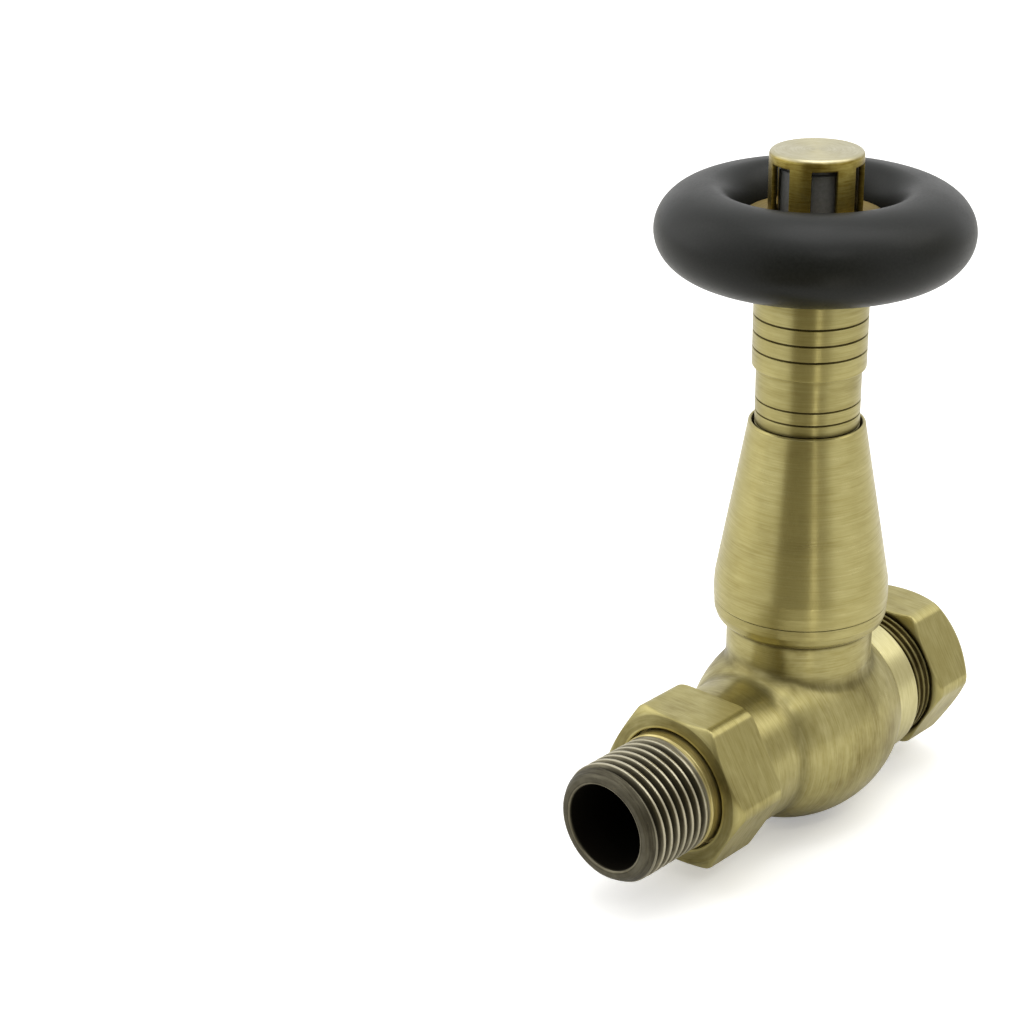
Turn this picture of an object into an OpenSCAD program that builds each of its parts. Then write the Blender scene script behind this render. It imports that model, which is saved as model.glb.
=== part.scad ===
// Thermostatic radiator valve, straight pattern, with a black handwheel.
// Millimetres. X is the port axis: the threaded radiator tail points to -X and
// the pipe socket to +X. Z is the spindle axis. The origin is the valve's centre
// point, where the two axes cross. The rest pose is fully open, all nuts tight.

/* [Ports] */
// Outside radius of the round valve body at its middle
globe_r = 17.4; // [16.5:0.1:18.5]
// Radius of the arc that gives the body its barrel curve
globe_arc = 26.3; // [24:0.1:30]
// Radius of the smooth boss beside the union nut
front_boss_r = 13.3; // [12.9:0.1:13.6]
// Radius of the smooth collar beside the compression nut
rear_collar_r = 13.5; // [12.9:0.1:13.8]
// Bore radius of the pipe socket, for 15 mm pipe
pipe_r = 7.6; // [7.55:0.01:7.7]
// Depth of the pipe socket inside the body
pipe_depth = 13; // [11:0.5:14]

/* [Radiator tail] */
// Major radius of the half-inch parallel pipe thread (20.955 mm)
tail_thread_r = 10.478; // [10.4:0.001:10.5]
// Root radius of that thread
tail_root_r = 9.316; // [9.2:0.01:9.4]
// Length of the threaded part
tail_thread_len = 12.7; // [10:0.1:13]
// Bore radius through the tail
tail_bore_r = 7.7; // [7:0.1:8]
// Distance from the valve centre to the tip of the tail
tail_tip = 52.3; // [50:0.1:56]

/* [Nuts] */
// Union nut, size across flats
union_af = 27; // [26.6:0.1:28]
// Hole in the union nut's front lip, radius
union_hole_r = 11.05; // [10.9:0.05:11.2]
// Compression nut, size across flats
comp_af = 26.2; // [25.6:0.1:28]
// Pitch of both nuts' threads
nut_pitch = 1.5; // [1:0.25:2]

/* [Cover and sleeves] */
// Radius of the cone cover's lower band
cone_base_r = 15.2; // [15:0.1:15.6]
// Outside radius at the cone cover's top rim
cone_top_r = 10.0; // [9.9:0.1:10.4]
// Height of the cone cover's top rim above the port axis
cone_top_z = 57.5; // [54:0.5:60]
// Outside radius of the fixed inner sleeve
lower_sleeve_r = 8.96; // [8.9:0.01:9]
// Outside radius of the outer sleeve that turns with the wheel
upper_sleeve_r = 9.69; // [9.6:0.01:9.9]
// Height of the outer sleeve's lower edge
upper_sleeve_z = 67.4; // [65:0.1:70]

/* [Handwheel] */
// Mean radius of the handwheel's rim
rim_mean_r = 17.6; // [16:0.1:19]
// Half width of the rim outside its mean radius
rim_out = 8.96; // [8:0.1:10]
// Half height of the rim
rim_half_h = 7.58; // [6.5:0.1:8.5]
// Height of the rim's middle plane
rim_z = 91.08; // [90:0.1:92]
// Outside radius of the windowed cap
cap_r = 7.8; // [7.6:0.05:7.9]
// Height of the cap's top face
cap_top_z = 104.5; // [103:0.5:106]
// Width of each window in degrees
window_deg = 32; // [24:1:36]
// Turn of the wheel from open to shut, in degrees
wheel_turn_deg = 300; // [200:10:340]
// Lift of the valve disc from shut to open
lift = 3; // [2:0.1:3.1]

/* [Hidden] */
$fn = 96;
e = 0.01;

brass = [0.72, 0.68, 0.42];
dark_brass = [0.42, 0.39, 0.30];
plain_brass = [0.80, 0.66, 0.35];
black = [0.12, 0.12, 0.12];
rubber = [0.08, 0.08, 0.08];
steel = [0.62, 0.62, 0.64];
grey = [0.42, 0.43, 0.45];
ivory = [0.85, 0.83, 0.76];

body_end_x = -31;             // end of the male thread that takes the union nut
nut_face_x = -35;             // front face of the union nut
nut_back_x = -23.7;
collar_x0 = 13.3;
collar_x1 = 19.0;
body_rear_x = 30;             // mouth of the pipe socket
comp_x0 = 24.0;
comp_x1 = 36.3;
seat_z = 6.2;                 // height of the valve seat
disc_z = seat_z + lift + 0.05; // underside of the disc washer when open
ring_z0 = 18.1;
ring_z1 = 24.3;

// solid between two stations along X
module xcyl(x0, x1, r) { translate([x0, 0, 0]) rotate([0, 90, 0]) cylinder(h = x1 - x0, r = r); }
module zcyl(z0, z1, r) { translate([0, 0, z0]) cylinder(h = z1 - z0, r = r); }
// profile points given as [radius, station], turned about X or Z
module xturn() { rotate([0, 90, 0]) rotate_extrude() children(); }
module ring(r_mean, wire, z) { translate([0, 0, z]) rotate_extrude() translate([r_mean, 0]) circle(r = wire, $fn = 48); }

// hexagon bar with its corners turned down to a cone at each end
module hex_x(x0, x1, af, cut0, cut1) {
    rc = af / 2 / cos(30);
    intersection() {
        translate([x0, 0, 0]) rotate([0, 90, 0]) rotate([0, 0, 30]) cylinder(h = x1 - x0, r = rc, $fn = 6);
        xturn() polygon([[0, x0], [rc - cut0[0], x0], [rc + e, x0 + cut0[1]], [rc + e, x1 - cut1[1]], [rc - cut1[0], x1], [0, x1]]);
    }
}

// a round-wire compression spring: its end turns lie closed and the rest rise evenly
module coil(r, wire, z0, z1, turns, per = 16) {
    n = turns * per;
    m = 8;
    zlo = z0 + wire; zhi = z1 - wire;
    shut = 2.1 * wire;
    rise = (zhi - zlo - 2 * shut) / (turns - 2);
    function height(t) = t < 1 ? zlo + shut * t : t > turns - 1 ? zhi - shut * (turns - t) : zlo + shut + rise * (t - 1);
    pts = [for (i = [0:n]) for (k = [0:m - 1]) let (a = 360 * i / per, b = 360 * k / m)
        [(r + wire * cos(b)) * cos(a), (r + wire * cos(b)) * sin(a), height(i / per) + wire * sin(b)]];
    skin = [for (i = [0:n - 1]) for (k = [0:m - 1]) let (j = (k + 1) % m)
        [i * m + k, (i + 1) * m + k, (i + 1) * m + j, i * m + j]];
    polyhedron(points = pts, faces = concat(skin, [[for (k = [0:m - 1]) k], [for (k = [m - 1:-1:0]) n * m + k]]), convexity = 10);
}

// ---------------------------------------------------------------- valve body
module globe() {
    xturn() intersection() {
        translate([globe_r - globe_arc, 0]) circle(r = globe_arc, $fn = 160);
        translate([0, -16]) square([globe_r + 1, 16 + collar_x0 - 0.5]);
    }
}

module valve_body() {
    color(brass) difference() {
        union() {
            globe();
            xcyl(nut_back_x + 0.3, -8, front_boss_r);
            xcyl(body_end_x, nut_back_x + 0.4, 12.35);
            // narrow ring, then the smooth collar and the male thread behind it
            xcyl(0, collar_x0, 14.1);
            xcyl(8, collar_x1, rear_collar_r);
            xcyl(collar_x1 - 1, body_rear_x, 12.0);
            for (i = [0:6]) xturn() translate([0, collar_x1 + 0.5 + i * nut_pitch]) polygon([[11.9, 0], [12.45, 0.45], [12.45, 0.65], [11.9, 1.1]]);
            // neck for the head
            zcyl(-2, ring_z0 + 0.1, 12.8);
            zcyl(ring_z0, 23, 12.3);
        }
        // radiator side: counterbore for the tail spigot, then the passage
        xcyl(body_end_x - 1, -26, 9.1);
        xcyl(-27, -6.5, 7.0);
        translate([-12, -4, 0]) cube([5.5, 8, 9]);
        // pipe side: socket with a chamfered mouth for the olive, then the passage
        xcyl(body_rear_x - pipe_depth, body_rear_x + 1, pipe_r);
        xturn() polygon([[0, body_rear_x - 1], [pipe_r, body_rear_x - 1], [pipe_r + 1.1, body_rear_x + 0.1], [0, body_rear_x + 0.1]]);
        xcyl(-4.5, body_rear_x - pipe_depth + 1, 5.2);
        // disc chamber, its seat, and the bore for the insert
        difference() { zcyl(5.2 + 1.0, 24, 9.0); }
        zcyl(0, 8, 4.5);
    }
}

// ------------------------------------------------------------- radiator tail
module radiator_tail() {
    tip = -tail_tip;
    t0 = tip + 2.1;              // first full thread
    t1 = t0 + tail_thread_len;   // end of the thread
    color(dark_brass) difference() {
        union() {
            xturn() polygon([[0, tip], [tail_root_r - 0.35, tip], [tail_root_r, tip + 0.35], [tail_root_r, t0 - 1.0],
                             [tail_thread_r, t0], [tail_thread_r, t1], [10.15, t1 + 0.35], [10.7, t1 + 0.9],
                             [10.7, -32.72], [11.95, -32.72], [11.95, body_end_x - 0.05], [9.0, body_end_x - 0.05],
                             [9.0, -26.7], [8.6, -26.3], [0, -26.3]]);
        }
        xcyl(tip - 1, -20, tail_bore_r);
        // groove for the seal
        difference() { xcyl(-29.6, -27.9, 12); xcyl(-29.7, -27.8, 8.3); }
    }
}

module tail_o_ring() {
    color(rubber) translate([-28.75, 0, 0]) rotate([0, 90, 0]) rotate_extrude() translate([8.68, 0]) circle(r = 0.36, $fn = 32);
}

module union_nut() {
    color(brass) difference() {
        hex_x(nut_face_x, nut_back_x, union_af, [2.1, 1.2], [0.5, 0.3]);
        xcyl(nut_face_x - 1, nut_back_x + 1, union_hole_r);
        xcyl(-32.75, nut_back_x + 1, 12.5);
    }
}

// --------------------------------------------------------- compression joint
module olive() {
    color(plain_brass) difference() {
        xturn() polygon([[0, 29.7], [7.95, 29.7], [9.3, 31.3], [9.3, 32.2], [7.95, 33.9], [0, 33.9]]);
        xcyl(29, 35, pipe_r);
    }
}

module compression_nut() {
    rc = comp_af / 2 / cos(30);
    color(brass) difference() {
        hex_x(comp_x0, comp_x1, comp_af, [2.0, 1.15], [rc - 11.3, 3.7]);
        xcyl(comp_x0 - 1, 33.0, 12.55);
        xturn() polygon([[0, 32.9], [10.4, 32.9], [10.3, 33.0], [8.2, 35.0], [0, 35.0]]);
        xcyl(34, comp_x1 + 1, 7.85);
    }
}

// ------------------------------------------------------------- valve insert
module valve_insert() {
    color(plain_brass) difference() {
        union() {
            zcyl(12.6, 23.0, 8.95);
            zcyl(23.0, 24.2, 7.4);
            translate([0, 0, 24.1]) cylinder(h = 4, r = 13 / 2 / cos(30), $fn = 6);
            zcyl(28, 31, 5.2);
        }
        // spring chamber, stem bore and packing pocket
        zcyl(12, 26.4, 5.6);
        zcyl(26, 32, 1.35);
        zcyl(28.6, 32, 2.95);
        zcyl(30.15, 32, 3.6);
        // groove for the seal
        difference() { zcyl(19.6, 21.4, 10); zcyl(19.5, 21.5, 8.05); }
    }
}

module insert_o_ring() { color(rubber) ring(8.5, 0.44, 20.5); }

module gland_nut() {
    color(plain_brass) difference() {
        union() {
            zcyl(30.2, 31.3, 3.55);
            translate([0, 0, 31.2]) cylinder(h = 2.8, r = 8 / 2 / cos(30), $fn = 6);
            zcyl(33.9, 34.6, 3.4);
        }
        zcyl(30, 35, 1.35);
    }
}

module gland_o_ring() { color(rubber) ring(2.1, 0.78, 29.4); }

module valve_pin() {
    color(steel) difference() {
        union() {
            zcyl(disc_z + 2.2, 38.6, 1.25);
            zcyl(38.5, 39.2, 1.05);
        }
        // groove that takes the retaining collar
        difference() { zcyl(23.0, 23.8, 3); zcyl(22.9, 23.9, 0.95); }
    }
}

module pin_collar() {
    color(steel) difference() {
        union() { zcyl(23.05, 23.75, 3.2); zcyl(22.3, 23.06, 4.6); }
        zcyl(23.0, 24, 0.98);
        zcyl(22, 23.04, 1.27);
        translate([0, -0.8, 22]) cube([6, 1.6, 3]);
    }
}

module disc_holder() {
    color(plain_brass) difference() {
        union() { zcyl(disc_z + 1.2, disc_z + 3.0, 5.3); zcyl(disc_z + 2.9, disc_z + 3.2, 2.6); }
        zcyl(disc_z + 2.2, disc_z + 4, 1.26);
        zcyl(disc_z + 1.1, disc_z + 2.0, 4.9);
    }
}

module disc_washer() {
    color(rubber) union() { zcyl(disc_z, disc_z + 1.2, 5.3); zcyl(disc_z + 1.1, disc_z + 1.98, 4.88); }
}

module spring_seat() {
    color(plain_brass) difference() { zcyl(13.2, 14.2, 5.55); zcyl(13, 15, 1.5);
        for (a = [0:90:270]) rotate([0, 0, a]) translate([3.6, 0, 13]) cylinder(h = 2, r = 0.7); }
}

module return_spring() { color(steel) coil(3.6, 0.4, 14.2, 22.3, 6); }

// --------------------------------------------------------------- head, fixed
module head_union_ring() {
    color(brass) difference() {
        rotate_extrude() difference() {
            union() {
                translate([12, ring_z0 + 2.3]) square([3.1, ring_z1 - ring_z0 - 2.3]);
                intersection() {
                    translate([12.8, ring_z0 + 2.31]) circle(r = 2.31);
                    translate([12, ring_z0]) square([4, 4]);
                }
            }
            translate([0, ring_z0 - 1]) square([12.82, 1.25]);
        }
        zcyl(ring_z0 - 1, ring_z1 + 1, 12.45);
    }
}

module lower_sleeve() {
    color(brass) difference() {
        union() {
            zcyl(23.05, 24.2, 12.3);
            zcyl(24.1, 85.6, lower_sleeve_r);
        }
        zcyl(22, 87, 7.9);
        for (z = [61.74, 59.42, 57.2]) difference() { zcyl(z - 0.14, z + 0.14, 10); zcyl(z - 1, z + 1, lower_sleeve_r - 0.22); }
    }
}

module cone_shroud() {
    color(brass) rotate_extrude() polygon([
        [14.2, ring_z1 + 0.1], [cone_base_r - 0.15, ring_z1 + 0.1], [cone_base_r, ring_z1 + 0.25], [cone_base_r + 0.02, 27.2],
        [cone_base_r - 0.02, 28.1], [cone_base_r - 0.14, 28.8],
        [cone_top_r + 0.10, cone_top_z - 0.95], [cone_top_r - 0.02, cone_top_z - 0.35], [cone_top_r - 0.22, cone_top_z - 0.06],
        [cone_top_r - 0.4, cone_top_z], [cone_top_r - 0.55, cone_top_z - 0.08], [9.4, cone_top_z - 0.2],
        [9.4, 54.5], [14.2, 27.6]]);
}

module shroud_spacer() {
    color(ivory) difference() {
        union() { zcyl(30, 33, 12.9); zcyl(32.9, 36, 10.2); }
        zcyl(29, 37, lower_sleeve_r + 0.02);
        for (a = [0:60:300]) rotate([0, 0, a]) translate([11.4, 0, 29]) cylinder(h = 5, r = 0.9);
    }
}

module rod_guide() {
    color(ivory) difference() {
        union() { zcyl(44, 46, 7.85); zcyl(45.9, 52, 3.6); }
        zcyl(43, 53, 2.05);
        for (a = [0:60:300]) rotate([0, 0, a]) translate([5.6, 0, 43]) cylinder(h = 4, r = 1.0);
    }
}

// -------------------------------------------------------------- head, moving
module upper_sleeve() {
    color(brass) difference() {
        union() {
            zcyl(upper_sleeve_z + 0.3, 86.9, upper_sleeve_r);
            rotate_extrude() polygon([[9.1, upper_sleeve_z], [upper_sleeve_r - 0.3, upper_sleeve_z], [upper_sleeve_r, upper_sleeve_z + 0.3], [9.1, upper_sleeve_z + 0.31]]);
        }
        zcyl(upper_sleeve_z - 1, 88, 9.02);
        for (z = [70.83, 73.69, 76.55]) difference() { zcyl(z - 0.15, z + 0.15, 11); zcyl(z - 1, z + 1, upper_sleeve_r - 0.24); }
    }
}

// the rim's section is an ellipse whose inner half is narrower, with a web that
// reaches in to the hub and leaves a shallow dish round the cap
module handwheel() {
    rim_in = 5.1;
    floor_z = 92.7; base_z = 84.3; bore = 11.58;
    tf = asin((floor_z - rim_z) / rim_half_h);
    tb = asin((base_z - rim_z) / rim_half_h);
    color(black) rotate_extrude() polygon(concat(
        [for (i = [0:60]) let (t = -90 + 3 * i) [rim_mean_r + rim_out * cos(t), rim_z + rim_half_h * sin(t)]],
        [for (i = [1:24]) let (t = 90 + (tf - 90) * i / 24) [rim_mean_r - rim_in * cos(t), rim_z + rim_half_h * sin(t)]],
        [[bore, floor_z], [bore, base_z]],
        [for (i = [0:7]) let (t = tb + (-90 - tb) * i / 8) [rim_mean_r - rim_in * cos(t), rim_z + rim_half_h * sin(t)]]));
}

module wheel_hub() {
    color(brass) difference() {
        union() { zcyl(84.4, 92.6, 11.55); rotate_extrude() polygon([[8, 92.5], [11.55, 92.5], [11.35, 93.0], [8, 93.0]]); }
        zcyl(84, 87, upper_sleeve_r + 0.01);
        zcyl(84, 90.8, 9.02);
        zcyl(84, 94, 8.1);
    }
}

module windowed_cap() {
    color(brass) difference() {
        union() {
            zcyl(90.2, cap_top_z - 0.8, cap_r);
            rotate_extrude() intersection() { translate([cap_r - 0.8, cap_top_z - 0.8]) circle(r = 0.8, $fn = 48); translate([0, 90]) square([20, 20]); }
            zcyl(cap_top_z - 0.85, cap_top_z, cap_r - 0.8);
            zcyl(89.0, 90.75, 8.9);
        }
        zcyl(88, cap_top_z - 1.5, 6.85);
        // six windows through the skirt
        for (k = [0:5]) rotate([0, 0, 46.5 + 60 * k]) translate([0, 0, 91.5]) linear_extrude(10.4)
            polygon([[0, 0], [20 * cos(window_deg / 2), -20 * sin(window_deg / 2)], [20 * cos(window_deg / 2), 20 * sin(window_deg / 2)]]);
    }
}

module sensor_capsule() {
    color(grey) union() {
        zcyl(87.4, 101.6, 6.1);
        zcyl(101.5, 102.4, 5.4);
        zcyl(86.6, 87.5, 4.2);
    }
}

module capsule_seat() {
    color(ivory) difference() {
        union() { zcyl(80.4, 82.4, 7.5); zcyl(82.3, 88.4, 7.5); }
        zcyl(82.4, 86.55, 4.3);
        zcyl(86.5, 89, 6.2);
        zcyl(80, 83, 2.1);
        zcyl(79, 81.4, 4.6);
    }
}

module push_rod() {
    color(steel) union() {
        zcyl(39.25, 84, 2.0);
        zcyl(62, 63.4, 5.4);
    }
}

module overtravel_spring() { color(steel) coil(3.7, 0.55, 63.4, 81.4, 7); }

valve_body();
radiator_tail();
tail_o_ring();
union_nut();
olive();
compression_nut();
valve_insert();
insert_o_ring();
gland_nut();
gland_o_ring();
valve_pin();
pin_collar();
disc_holder();
disc_washer();
return_spring();
spring_seat();
head_union_ring();
lower_sleeve();
cone_shroud();
shroud_spacer();
upper_sleeve();
handwheel();
wheel_hub();
windowed_cap();
sensor_capsule();
capsule_seat();
push_rod();
overtravel_spring();
rod_guide();
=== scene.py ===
import bpy
import bmesh
import math
import numpy as np
from mathutils import Matrix, Vector


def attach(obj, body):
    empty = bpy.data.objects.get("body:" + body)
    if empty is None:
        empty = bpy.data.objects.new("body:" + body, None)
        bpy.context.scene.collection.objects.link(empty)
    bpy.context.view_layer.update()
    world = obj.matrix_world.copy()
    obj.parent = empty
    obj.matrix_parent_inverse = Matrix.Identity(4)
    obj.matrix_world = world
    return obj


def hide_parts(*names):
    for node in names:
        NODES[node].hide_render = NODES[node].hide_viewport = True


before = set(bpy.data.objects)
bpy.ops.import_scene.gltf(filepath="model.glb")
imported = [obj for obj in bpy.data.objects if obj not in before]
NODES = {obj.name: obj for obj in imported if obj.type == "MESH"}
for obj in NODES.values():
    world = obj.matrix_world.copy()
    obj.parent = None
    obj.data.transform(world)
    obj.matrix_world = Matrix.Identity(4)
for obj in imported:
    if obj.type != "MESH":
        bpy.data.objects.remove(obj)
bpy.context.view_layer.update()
MM = 0.001

# ------------------------------------------------------------------ meshes


def add_mesh(name, verts, faces, normals=None, attrs=None, sharp=None):
    """verts in mm, faces an (n,4) or (n,3) array or a list of such arrays."""
    groups = faces if isinstance(faces, list) else [faces]
    groups = [np.asarray(g, np.int32) for g in groups if len(g)]
    loops = np.concatenate([g.reshape(-1) for g in groups])
    sizes = np.concatenate([np.full(len(g), g.shape[1], np.int32) for g in groups])
    starts = np.concatenate([[0], np.cumsum(sizes)[:-1]]).astype(np.int32)
    me = bpy.data.meshes.new(name)
    me.vertices.add(len(verts))
    me.vertices.foreach_set("co", (np.asarray(verts, np.float32) * MM).reshape(-1))
    me.loops.add(len(loops))
    me.loops.foreach_set("vertex_index", loops)
    me.polygons.add(len(sizes))
    me.polygons.foreach_set("loop_start", starts)
    me.update(calc_edges=True)
    me.polygons.foreach_set("use_smooth", np.ones(len(sizes), bool))
    for key, value in (attrs or {}).items():
        a = me.attributes.new(key, "FLOAT", "POINT")
        a.data.foreach_set("value", np.asarray(value, np.float32))
    if normals is not None:
        me.normals_split_custom_set_from_vertices(np.asarray(normals, np.float32))
    elif sharp is not None:
        me.set_sharp_from_angle(angle=math.radians(sharp))
    ob = bpy.data.objects.new(name, me)
    bpy.context.scene.collection.objects.link(ob)
    return ob


def rounded(points, closed=True, seg=5, step=None):
    """points: (r, s) or (r, s, fillet). Returns the polyline and its outward normals,
    for a profile that runs counter-clockwise in the (r, s) plane."""
    p = [tuple(q) + ((0.0,) if len(q) == 2 else ()) for q in points]
    area = 0.0
    for a, b in zip(p, p[1:] + p[:1]):
        area += a[0] * b[1] - b[0] * a[1]
    if area < 0:
        p = p[::-1]
    n = len(p)
    out, nor = [], []

    def unit(v):
        return v / max(np.hypot(*v), 1e-12)

    for i, q in enumerate(p):
        c = np.array(q[:2])
        if not closed and i in (0, n - 1):
            other = np.array(p[1][:2]) if i == 0 else np.array(p[-2][:2])
            d = unit(other - c) if i == 0 else unit(c - other)
            out.append(c)
            nor.append(np.array([d[1], -d[0]]))
            continue
        a = np.array(p[i - 1][:2])
        b = np.array(p[(i + 1) % n][:2])
        d0, d1 = unit(c - a), unit(b - c)
        n0, n1 = np.array([d0[1], -d0[0]]), np.array([d1[1], -d1[0]])
        turn = math.atan2(d0[0] * d1[1] - d0[1] * d1[0], d0 @ d1)
        room = 0.49 * min(np.hypot(*(c - a)), np.hypot(*(b - c)))
        if abs(turn) < 0.02:
            out.append(c)
            nor.append(unit(n0 + n1))
            continue
        r = q[2] if q[2] > 0 else 0.03
        t = min(r * math.tan(abs(turn) / 2), room)
        r = t / math.tan(abs(turn) / 2)
        start = c - d0 * t
        centre = start - n0 * r * (1 if turn > 0 else -1)
        k = max(2, int(math.ceil(seg * abs(turn) / (math.pi / 2))))
        for j in range(k + 1):
            f = j / k
            ang = turn * f
            ca, sa = math.cos(ang), math.sin(ang)
            nn = np.array([n0[0] * ca - n0[1] * sa, n0[0] * sa + n0[1] * ca])
            out.append(centre + nn * r * (1 if turn > 0 else -1))
            nor.append(nn)
    out, nor = np.array(out), np.array(nor)
    if step:
        q, m = [], []
        last = len(out) if closed else len(out) - 1
        for i in range(last):
            a, b = out[i], out[(i + 1) % len(out)]
            k = max(1, int(math.ceil(np.hypot(*(b - a)) / step)))
            for j in range(k):
                f = j / k
                q.append(a * (1 - f) + b * f)
                m.append(unit(nor[i] * (1 - f) + nor[(i + 1) % len(out)] * f))
        if not closed:
            q.append(out[-1])
            m.append(nor[-1])
        out, nor = np.array(q), np.array(m)
    return out, nor


def turned(name, points, axis="Z", n=192, seg=5, closed=True, step=None, shape=None, attrs=None, phase=0.0):
    """A piece turned about X or Z from a closed (r, s) profile. shape(r, s, a) may move each
    point's radius, which is how flats and threads are cut."""
    prof, nor = rounded(points, closed, seg, step)
    k = len(prof)
    a = phase + np.arange(n) * 2 * np.pi / n
    R = np.repeat(prof[:, 0:1], n, 1)
    S = np.repeat(prof[:, 1:2], n, 1)
    A = np.repeat(a[None, :], k, 0)
    extra = {}
    if shape is not None:
        R, extra = shape(R, S, A)
    if axis == "Z":
        V = np.stack([R * np.cos(A), R * np.sin(A), S], -1)
    else:
        V = np.stack([S, R * np.cos(A), R * np.sin(A)], -1)
    idx = np.arange(k * n).reshape(k, n)
    rows = k if closed else k - 1
    i0 = idx[np.arange(rows)]
    i1 = idx[(np.arange(rows) + 1) % k]
    quads = np.stack([i0, np.roll(i0, -1, 1), np.roll(i1, -1, 1), i1], -1).reshape(-1, 4)
    verts = V.reshape(-1, 3)
    normals = None
    if shape is None:
        NR = np.repeat(nor[:, 0:1], n, 1)
        NS = np.repeat(nor[:, 1:2], n, 1)
        if axis == "Z":
            N = np.stack([NR * np.cos(A), NR * np.sin(A), NS], -1)
        else:
            N = np.stack([NS, NR * np.cos(A), NR * np.sin(A)], -1)
        normals = N.reshape(-1, 3)
    data = {}
    for key, f in (attrs or {}).items():
        data[key] = f(R, S, A).reshape(-1)
    for key, v in extra.items():
        data[key] = v.reshape(-1)
    if not closed:
        # an open profile starts and ends on the axis: its two end rings become single points
        keep = np.ones(k * n, bool)
        remap = np.arange(k * n)
        for row in (0, k - 1):
            remap[idx[row]] = idx[row][0]
            keep[idx[row][1:]] = False
        new = np.cumsum(keep) - 1
        quads = new[remap[quads]]
        first, last = new[idx[0][0]], new[idx[k - 1][0]]
        tri0 = quads[(quads[:, 0] == first)][:, [0, 2, 3]]
        tri1 = quads[(quads[:, 2] == last)][:, [0, 1, 2]]
        rest = quads[(quads[:, 0] != first) & (quads[:, 2] != last)]
        verts = verts[keep]
        normals = normals[keep] if normals is not None else None
        data = {key: v[keep] for key, v in data.items()}
        faces = [rest, tri0, tri1]
    else:
        faces = quads
    return add_mesh(name, verts, faces, normals, data)


def near(values, width, strength=1.0):
    """Painted shade within `width` mm of each station."""
    def f(R, S, A):
        out = np.zeros_like(S)
        for v in values:
            out = np.maximum(out, strength * np.exp(-(((S - v) / width) ** 2)))
        return out
    return f


def smin(a, b, k):
    h = np.maximum(k - np.abs(a - b), 0) / k
    return np.minimum(a, b) - h * h * k / 4


def smax(a, b, k):
    return -smin(-a, -b, k)


def step01(x, lo, hi):
    t = np.clip((x - lo) / (hi - lo), 0, 1)
    return t * t * (3 - 2 * t)


def thread_wave(s, a, pitch):
    t = np.mod(s / pitch - a / (2 * np.pi), 1.0)
    return step01(1 - np.abs(2 * t - 1), 0.16, 0.84)


def nets(f, xs, ys, zs):
    """Surface nets on a rectilinear grid, drawn onto f = 0 along its gradient."""
    F = f(xs[:, None, None], ys[None, :, None], zs[None, None, :]).astype(np.float32)
    S = F < 0
    c = np.zeros([d - 1 for d in S.shape], np.int8)
    offs = [(i, j, k) for i in (0, 1) for j in (0, 1) for k in (0, 1)]
    nx, ny, nz = c.shape
    for i, j, k in offs:
        c += S[i:i + nx, j:j + ny, k:k + nz]
    act = (c > 0) & (c < 8)
    I, J, K = np.nonzero(act)
    idx = np.full(act.shape, -1, np.int64)
    idx[I, J, K] = np.arange(len(I))
    P = np.zeros((len(I), 3))
    W = np.zeros(len(I))
    g = (xs, ys, zs)
    for a in offs:
        for ax in range(3):
            if a[ax]:
                continue
            b = list(a)
            b[ax] = 1
            fa = F[I + a[0], J + a[1], K + a[2]].astype(float)
            fb = F[I + b[0], J + b[1], K + b[2]].astype(float)
            cut = (fa < 0) != (fb < 0)
            t = np.where(cut, fa / np.where(cut, fa - fb, 1), 0)
            for d, n in enumerate((I, J, K)):
                pa, pb = g[d][n + a[d]], g[d][n + b[d]]
                P[:, d] += np.where(cut, pa + t * (pb - pa), 0)
            W += cut
    P /= W[:, None]
    quads = []
    for ax in range(3):
        lo = [slice(0, -1) if d == ax else slice(1, -1) for d in range(3)]
        hi = [slice(1, None) if d == ax else slice(1, -1) for d in range(3)]
        A, B = S[tuple(lo)], S[tuple(hi)]
        for flip, mask in ((False, A & ~B), (True, ~A & B)):
            n = list(np.nonzero(mask))
            for d in range(3):
                if d != ax:
                    n[d] = n[d] + 1
            u, v = (ax + 1) % 3, (ax + 2) % 3

            def cell(du, dv):
                m = list(n)
                m[u] = m[u] - du
                m[v] = m[v] - dv
                return idx[m[0], m[1], m[2]]
            q = np.stack([cell(1, 1), cell(0, 1), cell(0, 0), cell(1, 0)], 1)
            quads.append(q[:, ::-1] if flip else q)
    Q = np.concatenate(quads)
    Q = Q[(Q >= 0).all(1)]

    def grad(p, h=0.015):
        out = np.zeros_like(p)
        for d in range(3):
            e = np.zeros(3)
            e[d] = h
            lo, hi = p - e, p + e
            out[:, d] = (f(hi[:, 0], hi[:, 1], hi[:, 2]) - f(lo[:, 0], lo[:, 1], lo[:, 2])) / (2 * h)
        return out
    for _ in range(4):
        v = f(P[:, 0], P[:, 1], P[:, 2])
        n = grad(P)
        m = np.maximum((n * n).sum(1), 0.05)
        move = -(v / m)[:, None] * n
        size = np.linalg.norm(move, axis=1)
        move *= np.minimum(1, 0.15 / np.maximum(size, 1e-9))[:, None]
        P = P + move
    n = grad(P)
    n /= np.maximum(np.linalg.norm(n, axis=1), 1e-9)[:, None]
    return P, Q, n


def spans(*parts):
    """Grid stations: (start, end, step) pieces joined."""
    out = []
    for a, b, h in parts:
        k = max(1, int(round((b - a) / h)))
        out += [a + (b - a) * i / k for i in range(k)]
    out.append(parts[-1][1])
    return np.array(out)


# ------------------------------------------------------------- node helpers


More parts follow.
